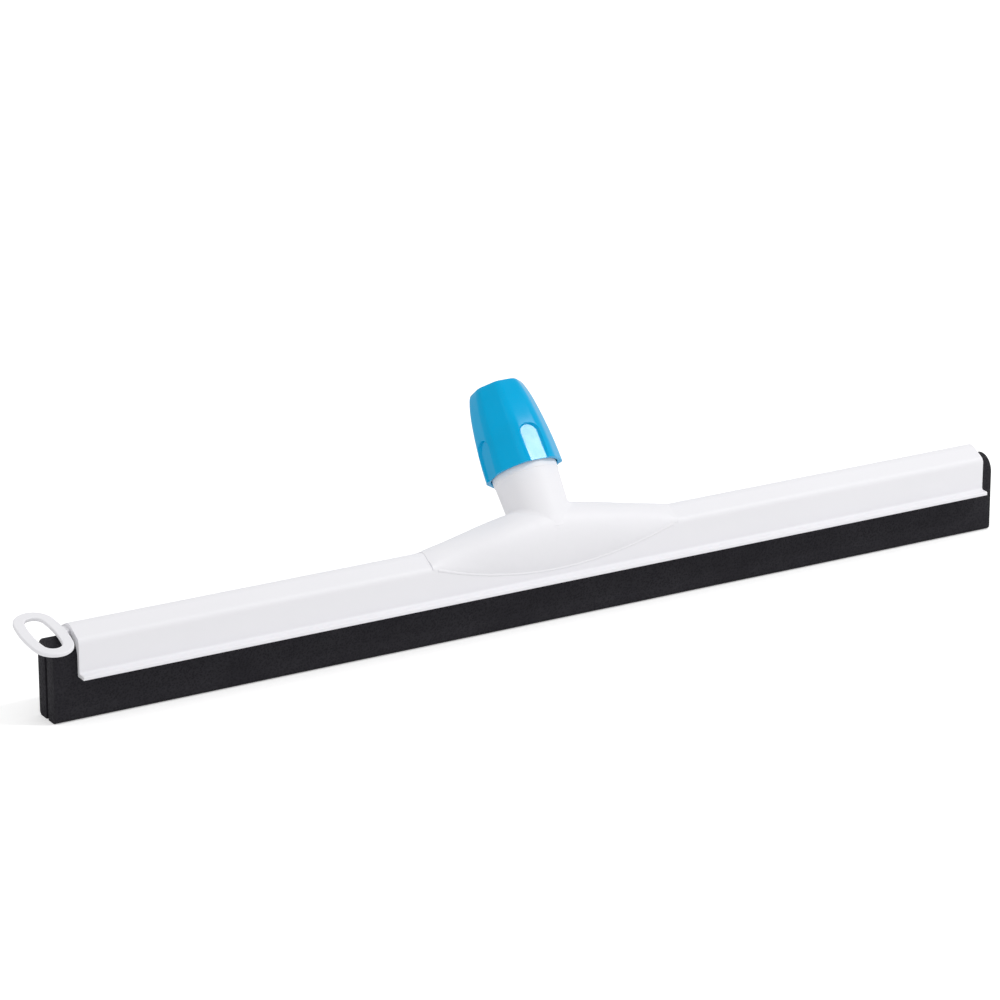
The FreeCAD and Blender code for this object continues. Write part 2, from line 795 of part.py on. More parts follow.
def oval(body, name, half_width, half_length, end_radius):
    """A four-arc oval: two end arcs along Y joined by two flatter side arcs."""
    sketch = new_sketch(body, name, "XY_Plane")
    end_centre = half_length - end_radius
    squares = half_width * half_width + end_centre * end_centre - end_radius * end_radius
    side_radius = squares / ((half_width - end_radius) * 2)
    side_centre = side_radius - half_width
    turn = math.atan2(end_centre.value, side_centre.value)
    half_turn = math.pi / 2
    arcs = [
        ((ZERO, end_centre), end_radius, turn, math.pi - turn),
        ((side_centre, ZERO), side_radius, math.pi - turn, math.pi + turn),
        ((ZERO, -end_centre), end_radius, math.pi + turn, 2 * math.pi - turn),
        ((-side_centre, ZERO), side_radius, -turn, turn),
    ]
    for index, (centre, radius, start, end) in enumerate(arcs):
        middle = Vector(centre[0].value, centre[1].value, 0)
        circle = Part.Circle(middle, Vector(0, 0, 1), radius.value)
        sketch.addGeometry(Part.ArcOfCircle(circle, start, end), False)
    for index, (centre, radius, start, end) in enumerate(arcs):
        sketch.addConstraint(Sketcher.Constraint("Tangent", index, 2, (index + 1) % 4, 1))
    for index, (centre, radius, start, end) in enumerate(arcs):
        if index % 2 == 0:
            pin(sketch, index, 3, centre)
        number = sketch.addConstraint(Sketcher.Constraint("Radius", index, radius.value))
        sketch.setExpression("Constraints[%d]" % number, radius.text)
    return sketch


def make_hanging_ring():
    """The flat ring, its tab and the peg that snaps into the end of the roof."""
    body = new_body("hanging_ring")
    outer = oval(body, "ring_outline", size["ring_half_width"], size["ring_half_length"],
                 size["ring_end_radius"])
    plate = pad(body, "ring_plate", outer, size["ring_thickness"])
    hole = oval(body, "ring_hole", size["ring_half_width"] - size["ring_rim"],
                size["ring_half_length"] - size["ring_rim"],
                size["ring_end_radius"] - size["ring_rim"])
    opening = pocket_through(body, "ring_opening", hole)
    half_thickness = size["ring_thickness"].value / 2
    rounded = round_edges(body, "ring_edges", opening, size["ring_edge_radius"],
                          lambda point: near(abs(point.z), half_thickness))
    roof_end = size["ring_half_width"] + size["ring_gap"]
    tab_end = roof_end - size["peg_end_clearance"]
    tab_start = size["ring_half_width"] - size["ring_rim"] / 2
    tab_half = size["tab_width"] / 2
    tab_tip = tab_half / 2
    tab = closed_profile(body, "tab_outline", "XY_Plane", [
        (tab_start, -tab_half),
        (tab_end, -tab_tip),
        (tab_end, tab_tip),
        (tab_start, tab_half),
    ])
    pad(body, "tab", tab, size["ring_thickness"] - size["ring_edge_radius"] / 2)
    peg = closed_profile(body, "peg_section", "XY_Plane",
                         peg_profile(tab_start, roof_end, ZERO, ZERO))
    revolve(body, "peg", peg, "H_Axis")
    body.Placement = FreeCAD.Placement(
        Vector(ring_centre.value, 0, peg_height.value),
        FreeCAD.Rotation(Vector(1, 0, 0), size["ring_tilt"].value))
    body.setExpression("Placement.Base.x", ring_centre.text)
    body.setExpression("Placement.Base.z", peg_height.text)
    body.setExpression("Placement.Rotation.Angle", size["ring_tilt"].text)
    return body


# ---------------------------------------------------------------- build and write

NODES = [
    make_blade_holder(),
    make_foam_blade(),
    make_core_strip(),
    make_handle_collet(),
    make_ring_nut(),
    make_hanging_ring(),
]
doc.recompute()

for thing in doc.Objects:
    if "Invalid" in thing.State or "Error" in thing.State:
        raise ValueError("%s did not build: %s" % (thing.Label, thing.State))
for node in NODES:
    if node.Shape.isNull() or not node.Shape.isValid() or len(node.Shape.Solids) != 1:
        raise ValueError("%s is not one valid solid" % node.Label)

os.makedirs("parts", exist_ok=True)
for node in NODES:
    node.Shape.exportStep("parts/%s.step" % node.Label)
    box = node.Shape.BoundBox
    print("%-14s volume %10.1f  x %8.2f..%8.2f  y %7.2f..%7.2f  z %7.2f..%7.2f" % (
        node.Label, node.Shape.Volume, box.XMin, box.XMax, box.YMin, box.YMax, box.ZMin, box.ZMax))
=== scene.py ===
import json
import math

import bmesh
import bpy
from mathutils import Matrix, Vector


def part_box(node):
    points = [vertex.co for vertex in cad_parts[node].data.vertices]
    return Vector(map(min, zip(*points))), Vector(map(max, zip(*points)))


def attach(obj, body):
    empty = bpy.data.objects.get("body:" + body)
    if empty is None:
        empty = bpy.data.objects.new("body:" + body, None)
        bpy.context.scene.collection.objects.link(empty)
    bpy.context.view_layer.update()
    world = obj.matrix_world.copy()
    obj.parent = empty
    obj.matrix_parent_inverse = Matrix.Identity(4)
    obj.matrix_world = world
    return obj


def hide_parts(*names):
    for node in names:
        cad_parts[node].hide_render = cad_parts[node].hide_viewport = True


bl_info = {
    "name": "Floor squeegee head",
    "version": (1, 0, 0),
    "blender": (4, 5, 0),
    "location": "3D View > Sidebar > Squeegee",
    "description": "Dresses a floor squeegee head: cellular blade, moulded holder, ring nut and ring",
    "category": "Add Mesh",
}

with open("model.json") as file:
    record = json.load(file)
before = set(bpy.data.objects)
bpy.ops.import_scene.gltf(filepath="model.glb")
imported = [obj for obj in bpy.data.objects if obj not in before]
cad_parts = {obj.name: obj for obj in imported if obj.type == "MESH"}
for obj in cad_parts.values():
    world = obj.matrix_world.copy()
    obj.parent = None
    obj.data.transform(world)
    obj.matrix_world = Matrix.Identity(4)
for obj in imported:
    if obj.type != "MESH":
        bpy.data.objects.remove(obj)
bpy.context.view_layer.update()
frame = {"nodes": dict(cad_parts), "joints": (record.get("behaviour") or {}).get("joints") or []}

MM = 0.001
CLOSE = 0.01 * MM
JOINTS = {joint["name"]: joint for joint in frame["joints"]}
NECK_ROOT = Vector(JOINTS["nut_turn"]["pos_m"])
NECK_AXIS = Vector(JOINTS["nut_turn"]["axis"]).normalized()


# ---------------------------------------------------------------- sizes and colours

def length(name, description, millimetres):
    return bpy.props.FloatProperty(
        name=name, description=description, default=millimetres * MM, min=0.0,
        precision=5, unit="LENGTH")


def turn(name, description, degrees):
    return bpy.props.FloatProperty(
        name=name, description=description, default=math.radians(degrees), subtype="ANGLE")


def colour(name, description, value):
    return bpy.props.FloatVectorProperty(
        name=name, description=description, default=value, size=4, min=0.0, max=1.0,
        subtype="COLOR")


class SqueegeeSizes(bpy.types.PropertyGroup):
    leaf_thickness: length("Leaf thickness", "Thickness of one leaf of the blade", 7.7)
    lip_radius: length("Lip radius", "Rounding of the outer lower edge of each leaf", 2.4)
    cut_radius: length("Cut edge radius", "Softening of the blade's cut edges", 0.3)
    blade_wave: length("Blade wave", "How far the free leaves wander from straight", 0.5)
    nut_rim_height: length("Nut rim", "Distance of the nut's rim from the neck's root", 35.0)
    nut_corner: length("Nut corner", "Length of facet that each soft corner takes", 3.0)
    nut_edge: length("Nut edge", "Rounding of the nut's crisp edges", 0.7)
    mouth_radius: length("Mouth radius", "Radius of the hole for the handle", 11.75)
    skirt_radius: length("Skirt radius", "Inside radius of the nut's skirt", 17.55)
    bore_radius: length("Bore radius", "Inside radius of the nut's threaded part", 16.35)
    flute_width: length("Flute width", "Width of a grip flute", 9.2)
    flute_length: length("Flute length", "Length of a grip flute from the rim", 19.6)
    flute_depth: length("Flute depth", "Depth of a grip flute at the rim", 0.8)
    flute_slope: turn("Flute slope", "Lean of the flute's floor from the nut's axis", 4.5)
    hub_half: length("Hub half length", "Distance of the hub's tips from its middle", 72.0)
    bead: length("Hub bead", "Radius of the bead under the hub", 1.1)
    bead_sink: length("Bead sink", "Depth of the bead's middle in the rail", 0.75)
    rail_half: length("Rail half width", "Half of the rail's width", 11.0)
    crease: length("Crease height", "Height of the crease between face and roof", 41.2)
    blend: length("Neck blend", "How far the neck's fillet reaches", 2.4)
    neck_bow: length("Neck bow", "Where the neck's front turns down into the hub", 0.3)
    neck_foot: length("Neck foot", "Radius of the neck at its root", 15.4)
    neck_land: length("Neck top", "Radius of the neck under the nut", 16.8)
    neck_land_start: length("Neck cone", "Length of the neck's cone", 31.6)


class SqueegeeColours(bpy.types.PropertyGroup):
    holder: colour("Holder", "White moulding", (0.86, 0.855, 0.885, 1.0))
    ring: colour("Ring", "Hanging ring", (0.86, 0.855, 0.885, 1.0))
    collet: colour("Collet", "Split sleeve in the nut's mouth", (0.80, 0.80, 0.82, 1.0))
    nut: colour("Nut", "Blue ring nut", (0.0, 0.405, 0.74, 1.0))
    # blade is the darker colour of the cell pits: painted shade in the hollows, below the walls'
    # colour
    blade: colour("Blade", "Cellular rubber", (0.011, 0.0102, 0.0138, 1.0))
    blade_cell: colour("Blade cells", "Walls of the opened cells", (0.0245, 0.0235, 0.028, 1.0))
    strip: colour("Strip", "Core strip", (0.62, 0.62, 0.60, 1.0))
    floor: colour("Floor", "Floor under the head", (1.0, 1.0, 1.0, 1.0))


def sizes():
    return bpy.context.scene.squeegee_sizes


def colours():
    return bpy.context.scene.squeegee_colours


# ---------------------------------------------------------------- modelling helpers

def object_mode():
    if bpy.context.object and bpy.context.object.mode != "OBJECT":
        bpy.ops.object.mode_set(mode="OBJECT")


def clear_selection():
    object_mode()
    bpy.ops.object.select_all(action="DESELECT")


def select_only(thing):
    clear_selection()
    thing.select_set(True)
    bpy.context.view_layer.objects.active = thing


def edit(thing):
    select_only(thing)
    bpy.ops.object.mode_set(mode="EDIT")
    bpy.ops.mesh.select_all(action="DESELECT")


def place_of(part):
    if isinstance(part, bmesh.types.BMVert):
        return part.co.copy()
    if isinstance(part, bmesh.types.BMEdge):
        return (part.verts[0].co + part.verts[1].co) / 2
    return part.calc_center_median()


def pick(thing, kind, test):
    """Selects only the vertices, edges or faces of the edited mesh that pass a test."""
    bpy.ops.mesh.select_mode(type=kind)
    bpy.ops.mesh.select_all(action="DESELECT")
    shape = bmesh.from_edit_mesh(thing.data)
    for part in {"VERT": shape.verts, "EDGE": shape.edges, "FACE": shape.faces}[kind]:
        if test(part, place_of(part)):
            part.select_set(True)
    shape.select_flush_mode()
    bmesh.update_edit_mesh(thing.data)


def is_level(edge):
    return abs(edge.verts[0].co.z - edge.verts[1].co.z) < CLOSE


def is_open(edge, place):
    return len(edge.link_faces) == 1


def name_piece(thing, name):
    thing.name = name
    thing.data.name = name


def settle(thing):
    """Puts the place into the mesh, merges doubles and points the faces outwards."""
    select_only(thing)
    bpy.ops.object.transform_apply(location=True, rotation=True, scale=True)
    edit(thing)
    bpy.ops.mesh.select_all(action="SELECT")
    bpy.ops.mesh.remove_doubles(threshold=CLOSE)
    bpy.ops.mesh.normals_make_consistent(inside=False)
    object_mode()


def apply_modifier(thing, kind, name, **settings):
    select_only(thing)
    modifier = thing.modifiers.new(name, kind)
    for key, value in settings.items():
        setattr(modifier, key, value)
    bpy.ops.object.modifier_apply(modifier=name)


def smooth(thing, degrees=35.0):
    select_only(thing)
    bpy.ops.object.shade_smooth_by_angle(angle=math.radians(degrees))


def give_material(thing, material):
    thing.data.materials.clear()
    thing.data.materials.append(material)


def stand_on_neck(thing, distance):
    """Turns a piece that was built along Z onto the neck's axis and applies its place."""
    place = NECK_ROOT + NECK_AXIS * distance
    turned = Vector((0, 0, 1)).rotation_difference(NECK_AXIS).to_matrix().to_4x4()
    thing.matrix_world = Matrix.Translation(place) @ turned @ thing.matrix_world
    select_only(thing)
    bpy.ops.object.transform_apply(location=True, rotation=True, scale=True)


# ---------------------------------------------------------------- shader groups

def new_group(name, inputs, outputs):
    group = bpy.data.node_groups.new(name, "ShaderNodeTree")
    kinds = {"colour": "NodeSocketColor", "value": "NodeSocketFloat"}
    for label, kind, default in inputs:
        socket = group.interface.new_socket(name=label, in_out="INPUT", socket_type=kinds[kind])
        socket.default_value = default
    for label, kind in outputs:
        group.interface.new_socket(name=label, in_out="OUTPUT", socket_type=kinds[kind])
    return group, group.nodes.new("NodeGroupInput"), group.nodes.new("NodeGroupOutput")


def noise(nodes, links, vector, scale, detail=3.0, roughness=0.55):
    node = nodes.new("ShaderNodeTexNoise")
    node.inputs["Detail"].default_value = detail
    node.inputs["Roughness"].default_value = roughness
    if isinstance(scale, (int, float)):
        node.inputs["Scale"].default_value = scale
    else:
        links.new(scale, node.inputs["Scale"])
    links.new(vector, node.inputs["Vector"])
    return node.outputs["Fac"]


def mapped(nodes, links, value, low, high, to_low, to_high):
    node = nodes.new("ShaderNodeMapRange")
    for label, number in (("From Min", low), ("From Max", high),
                          ("To Min", to_low), ("To Max", to_high)):
        if isinstance(number, (int, float)):
            node.inputs[label].default_value = number
        else:
            links.new(number, node.inputs[label])
    links.new(value, node.inputs["Value"])
    return node.outputs["Result"]


def worked_out(nodes, links, operation, first, second):
    node = nodes.new("ShaderNodeMath")
    node.operation = operation
    for socket, number in zip(node.inputs, (first, second)):
        if isinstance(number, (int, float)):
            socket.default_value = number
        else:
            links.new(number, socket)
    return node.outputs["Value"]


def blended(nodes, links, share, first, second):
    node = nodes.new("ShaderNodeMix")
    node.data_type = "RGBA"
    links.new(share, node.inputs["Factor"])
    for label, value in (("A", first), ("B", second)):
        socket = [s for s in node.inputs if s.name == label and s.type == "RGBA"][0]
        if isinstance(value, (tuple, list)):
            socket.default_value = value
        else:
            links.new(value, socket)
    return [s for s in node.outputs if s.type == "RGBA"][0]


def any_ray(nodes, links, *kinds):
    """Gives 1 for a ray of any of these kinds, and 0 for the others."""
    path = nodes.new("ShaderNodeLightPath")
    found = path.outputs[kinds[0]]
    for kind in kinds[1:]:
        found = worked_out(nodes, links, "MAXIMUM", found, path.outputs[kind])
    return found


def moulding_group():
    """Moulded plastic: faint flow clouds, a spark-eroded grain and handling marks."""
    found = bpy.data.node_groups.get("Moulded skin")
    if found:
        return found
    group, start, end = new_group(
        "Moulded skin",
        [("Colour", "colour", (0.8, 0.8, 0.8, 1.0)), ("Shade", "colour", (0.7, 0.7, 0.7, 1.0)),
         ("Cloud scale", "value", 22.0), ("Grain scale", "value", 1400.0),
         ("Roughness low", "value", 0.3), ("Roughness high", "value", 0.45)],
        [("Colour", "colour"), ("Roughness", "value"), ("Height", "value")])
    nodes, links = group.nodes, group.links
    where = nodes.new("ShaderNodeTexCoord").outputs["Object"]
    stretch = nodes.new("ShaderNodeMapping")
    stretch.inputs["Scale"].default_value = (0.35, 1.0, 1.0)
    links.new(where, stretch.inputs["Vector"])
    cloud = noise(nodes, links, stretch.outputs["Vector"], start.outputs["Cloud scale"],
                  detail=4.0)
    grain = noise(nodes, links, where, start.outputs["Grain scale"], detail=2.0, roughness=0.6)
    rub = noise(nodes, links, where, 150.0, detail=6.0, roughness=0.7)
    share = mapped(nodes, links, cloud, 0.35, 0.75, 0.0, 1.0)
    tone = blended(nodes, links, share, start.outputs["Colour"], start.outputs["Shade"])
    links.new(tone, end.inputs["Colour"])
    marks = mapped(nodes, links, rub, 0.3, 0.7, start.outputs["Roughness low"],
                   start.outputs["Roughness high"])
    links.new(marks, end.inputs["Roughness"])
    links.new(grain, end.inputs["Height"])
    return group


def cellular_group():
    """Closed-cell rubber: small opened cells in two sizes, mottled by the skiving knife, with painted
    shade in the cell pits, which are darker than the walls.
    """
    found = bpy.data.node_groups.get("Opened cells")
    if found:
        return found
    group, start, end = new_group(
        "Opened cells",
        [("Wall", "colour", (0.03, 0.03, 0.03, 1.0)), ("Shaded pit", "colour", (0.01, 0.01, 0.01, 1.0)),
         ("Cell scale", "value", 900.0), ("Fine scale", "value", 2400.0),
         ("Mottle scale", "value", 45.0)],
        [("Colour", "colour"), ("Roughness", "value"), ("Height", "value")])
    nodes, links = group.nodes, group.links
    where = nodes.new("ShaderNodeTexCoord").outputs["Object"]
    heights = []
    for label in ("Cell scale", "Fine scale"):
        cell = nodes.new("ShaderNodeTexVoronoi")
        cell.feature = "SMOOTH_F1"
        cell.inputs["Smoothness"].default_value = 0.25
        links.new(start.outputs[label], cell.inputs["Scale"])
        links.new(where, cell.inputs["Vector"])
        heights.append(mapped(nodes, links, cell.outputs["Distance"], 0.05, 0.65, 0.0, 1.0))
    fine = worked_out(nodes, links, "MULTIPLY", heights[1], 0.45)
    both = worked_out(nodes, links, "ADD", heights[0], fine)
    mottle = noise(nodes, links, where, start.outputs["Mottle scale"], detail=5.0,
                   roughness=0.6)
    # the pits, low in the bump, take the darker shaded pit colour: painted shade in the hollows; the
    # knife's mottle multiplies in on top
    share = worked_out(nodes, links, "MULTIPLY",
                       mapped(nodes, links, both, 0.25, 1.35, 0.0, 1.0),
                       mapped(nodes, links, mottle, 0.3, 0.7, 0.35, 1.0))
    links.new(blended(nodes, links, share, start.outputs["Shaded pit"], start.outputs["Wall"]),
              end.inputs["Colour"])
    links.new(mapped(nodes, links, both, 0.2, 1.3, 0.95, 0.78), end.inputs["Roughness"])
    links.new(both, end.inputs["Height"])
    return group


def dressed(name, group, values, bump, bump_depth, specular):
    """A material whose colour, roughness and bump come from a group."""
    found = bpy.data.materials.get(name)
    if found:
        return found
    material = bpy.data.materials.new(name)
    material.use_nodes = True
    nodes, links = material.node_tree.nodes, material.node_tree.links
    shader = nodes["Principled BSDF"]
    shader.inputs["Specular IOR Level"].default_value = specular
    effect = nodes.new("ShaderNodeGroup")
    effect.node_tree = group
    for label, value in values.items():
        effect.inputs[label].default_value = value
    links.new(effect.outputs["Colour"], shader.inputs["Base Color"])
    links.new(effect.outputs["Roughness"], shader.inputs["Roughness"])
    relief = nodes.new("ShaderNodeBump")
    relief.inputs["Strength"].default_value = bump
    relief.inputs["Distance"].default_value = bump_depth
    links.new(effect.outputs["Height"], relief.inputs["Height"])
    links.new(relief.outputs["Normal"], shader.inputs["Normal"])
    return material


def shaded(tint, share):
    """The same colour at a share of its brightness."""
    return [channel * share for channel in tint[:3]] + [1.0]


def white_plastic(name, tint, low=0.44, high=0.56):
    return dressed(name, moulding_group(),
                   {"Colour": tint, "Shade": shaded(tint, 0.975), "Cloud scale": 22.0,
                    "Grain scale": 1500.0, "Roughness low": low, "Roughness high": high},
                   bump=0.12, bump_depth=0.06 * MM, specular=0.4)


def blue_plastic(name, tint):
    return dressed(name, moulding_group(),
                   {"Colour": tint, "Shade": shaded(tint, 0.94), "Cloud scale": 60.0,
                    "Grain scale": 700.0, "Roughness low": 0.11, "Roughness high": 0.16},
                   bump=0.05, bump_depth=0.04 * MM, specular=0.09)


# shaded_pit is the darker colour of the cell hollows: painted shade, not a colour of its own
def rubber(name, wall, shaded_pit, cell, depth):
    return dressed(name, cellular_group(),
                   {"Wall": wall, "Shaded pit": shaded_pit, "Cell scale": cell, "Fine scale": cell * 2.6,
                    "Mottle scale": 45.0},
                   bump=0.8, bump_depth=depth, specular=0.18)


# ---------------------------------------------------------------- stage

FLOOR_WIDTH = 16.0
# share of white that the paper floor shows the camera over its own lit colour
FLOOR_GLOW = 0.3
# strength of the sky as light on the object, and as the white seen behind it
SKY_LIGHT = 0.68
SKY_SEEN = 1.0
# name, place and aim in metres, width in metres, watts
LAMPS = (
    ("key_softbox", (1.33, -0.98, 2.08), (0, 0.03, 0.09), 0.27, 22.0),
    ("side_softbox", (-1.1, -0.8, 1.5), (0, 0, 0.03), 1.2, 2.4),
)
CAMERA_PLACE = (-1.0528, -1.7251, 0.7564)
CAMERA_TURN = (math.radians(71.03), 0.0, math.radians(-30.73))
SENSOR_WIDTH = 36.0
LENS = 153.24


class SQUEEGEE_OT_stage(bpy.types.Operator):
    """Adds the floor, the soft lights and the camera"""
    bl_idname = "squeegee.stage"
    bl_label = "Stage"

    def execute(self, context):
        scene = context.scene
        scene.view_settings.view_transform = "Standard"
        clear_selection()

        bpy.ops.mesh.primitive_plane_add(size=FLOOR_WIDTH, location=(0, 0, 0))
        floor = context.object
        name_piece(floor, "studio_floor")
        paper = bpy.data.materials.new("studio_paper")
        paper.use_nodes = True
        surface = paper.node_tree.nodes["Principled BSDF"]
        surface.inputs["Base Color"].default_value = colours().floor
        surface.inputs["Roughness"].default_value = 1.0
        surface.inputs["Specular IOR Level"].default_value = 0.0
        nodes, links = paper.node_tree.nodes, paper.node_tree.links
        seen = any_ray(nodes, links, "Is Camera Ray", "Is Transmission Ray")
        surface.inputs["Emission Color"].default_value = (1.0, 1.0, 1.0, 1.0)
        links.new(mapped(nodes, links, seen, 0.0, 1.0, 0.0, FLOOR_GLOW),
                  surface.inputs["Emission Strength"])
        give_material(floor, paper)

        world = bpy.data.worlds.new("studio_world")
        scene.world = world
        world.use_nodes = True
        nodes, links = world.node_tree.nodes, world.node_tree.links
        sky = nodes["Background"]
        sky.inputs["Color"].default_value = (1.0, 1.0, 1.0, 1.0)
        seen = any_ray(nodes, links, "Is Camera Ray", "Is Glossy Ray", "Is Transmission Ray")
        links.new(mapped(nodes, links, seen, 0.0, 1.0, SKY_LIGHT, SKY_SEEN),
                  sky.inputs["Strength"])

        for label, place, aim, width, watts in LAMPS:
            bpy.ops.object.light_add(type="AREA", location=place)
            lamp = context.object
            lamp.name = label
            lamp.data.shape = "SQUARE"
            lamp.data.size = width
            lamp.data.energy = watts
            look = Vector(aim) - Vector(place)
            lamp.rotation_euler = look.to_track_quat("-Z", "Y").to_euler()

        bpy.ops.object.camera_add(location=CAMERA_PLACE, rotation=CAMERA_TURN)
        camera = context.object
        camera.name = "studio_camera"
        camera.data.sensor_width = SENSOR_WIDTH
        camera.data.lens = LENS
        scene.camera = camera
        return {"FINISHED"}


# ---------------------------------------------------------------- blade

BLADE_COLUMNS = 140
LEAF_ROWS = 8
FOLD_STEPS = 18


class SQUEEGEE_OT_blade(bpy.types.Operator):
    """Folds the cellular strip over, gives it thickness and softens its edges"""
    bl_idname = "squeegee.blade"
    bl_label = "Cellular blade"

    def execute(self, context):
        size = sizes()
        low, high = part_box("foam_blade")
        half = high.y
        leaf = size.leaf_thickness
        middle = half - leaf / 2
        fold = high.z - half
        span = high.x - low.x

        def on_fold_line(edge, place):
            return abs(place.z - fold) < CLOSE and is_level(edge)

        clear_selection()
        bpy.ops.mesh.primitive_grid_add(
            x_subdivisions=BLADE_COLUMNS, y_subdivisions=LEAF_ROWS, size=1.0,
            location=((low.x + high.x) / 2, -middle, fold / 2),
            rotation=(math.radians(90), 0, 0))
        blade = context.object
        blade.scale = (span, fold, 1.0)
        name_piece(blade, "cellular_blade")
        select_only(blade)
        bpy.ops.object.transform_apply(location=True, rotation=True, scale=True)

        edit(blade)
        pick(blade, "EDGE", on_fold_line)
        bpy.ops.mesh.spin(steps=FOLD_STEPS, angle=math.pi, center=(0, 0, fold), axis=(1, 0, 0))
        pick(blade, "EDGE", lambda edge, place: on_fold_line(edge, place) and place.y > 0)
        for row in range(LEAF_ROWS):
            bpy.ops.mesh.extrude_region_move(
                TRANSFORM_OT_translate={"value": (0, 0, -fold / LEAF_ROWS)})
        settle(blade)
        apply_modifier(blade, "SOLIDIFY", "thickness", thickness=leaf, offset=0.0,
                       use_even_offset=True)

        edit(blade)
        near = 0.05 * MM
        pick(blade, "EDGE", lambda edge, place: abs(abs(place.y) - half) < near
             and place.z < near)
        bpy.ops.mesh.bevel(offset=size.lip_radius, segments=6, affect="EDGES")
        bpy.ops.mesh.select_all(action="DESELECT")
        bpy.ops.mesh.select_mode(type="EDGE")
        bpy.ops.mesh.edges_select_sharp(sharpness=math.radians(60))
        bpy.ops.mesh.bevel(offset=size.cut_radius, segments=2, affect="EDGES")
        settle(blade)

        wander = bpy.data.textures.new("leaf_wander", "CLOUDS")
        wander.noise_scale = 0.07
        wander.noise_depth = 1
        apply_modifier(blade, "DISPLACE", "wander", texture=wander, texture_coords="LOCAL",
                       direction="Y", strength=size.blade_wave, mid_level=0.5)
        smooth(blade, 40.0)

        tone = colours()
        # tone.blade goes in as the pit colour: painted shade in the cell hollows
        give_material(blade, rubber("cellular_rubber_skin", tone.blade_cell, tone.blade,
                                    cell=900.0, depth=0.18 * MM))
        # the cut faces have lighter walls and pits darkened further, to 0.8: painted shade in the
        # hollows of the opened cells
        blade.data.materials.append(rubber("cellular_rubber_cut", shaded(tone.blade_cell, 1.15),
                                           shaded(tone.blade, 0.8),
                                           cell=700.0, depth=0.3 * MM))
        # the two ends and the lower edges are cut faces
        edit(blade)
        pick(blade, "FACE", lambda face, place: abs(face.normal.x) > 0.8
             or face.normal.z < -0.8)
        context.object.active_material_index = 1
        bpy.ops.object.material_slot_assign()
        object_mode()
        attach(blade, "holder")
        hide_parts("foam_blade")
        return {"FINISHED"}


# ---------------------------------------------------------------- holder

class SQUEEGEE_OT_holder(bpy.types.Operator):
    """Gives the moulded holder its satin skin"""
    bl_idname = "squeegee.holder"
    bl_label = "Blade holder"

    def execute(self, context):
        holder = frame["nodes"]["blade_holder"]
        give_material(holder, white_plastic("holder_satin", colours().holder))
        return {"FINISHED"}


class SQUEEGEE_OT_hub_bead(bpy.types.Operator):
    """Runs the fine bead round the hub, where it grows out of the rail"""
    bl_idname = "squeegee.hub_bead"
    bl_label = "Hub bead"

    def execute(self, context):
        size = sizes()
        holder = frame["nodes"]["blade_holder"]
        bead = bpy.data.objects.new("hub_bead", holder.data.copy())
        context.collection.objects.link(bead)
        name_piece(bead, "hub_bead")
        settle(bead)
        flange_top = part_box("blade_holder")[0].z + 3 * MM
        end = size.hub_half - 3 * MM
        side = size.rail_half + 0.3 * MM

        def on_rail(face):
            """The rail's faces run straight along X and reach past the hub."""
            straight = abs(face.normal.x) < 1e-4 and face.calc_area() > 0
            return straight and max(abs(vert.co.x) for vert in face.verts) > size.hub_half / 2

        def is_border(edge, place):
            if abs(place.x) > end or abs(place.y) > side or len(edge.link_faces) != 2:
                return False
            if not flange_top < place.z < size.crease:
                return False
            return on_rail(edge.link_faces[0]) != on_rail(edge.link_faces[1])

        edit(bead)
        pick(bead, "EDGE", is_border)
        bpy.ops.mesh.select_all(action="INVERT")
        bpy.ops.mesh.delete(type="EDGE")
        object_mode()
        for vert in bead.data.vertices:
            vert.co.y -= math.copysign(size.bead_sink, vert.co.y)
        select_only(bead)
        bpy.ops.object.convert(target="CURVE")
        bead = context.object
        bead.data.use_fill_caps = True
        bead.data.bevel_depth = size.bead
        bead.data.bevel_resolution = 3
        bpy.ops.object.convert(target="MESH")
        bead = context.object
        name_piece(bead, "hub_bead")
        settle(bead)
        smooth(bead, 60.0)
        give_material(bead, white_plastic("holder_satin", colours().holder))
        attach(bead, "holder")
        return {"FINISHED"}


BLEND_COLUMNS = 144
BLEND_STEPS = 8


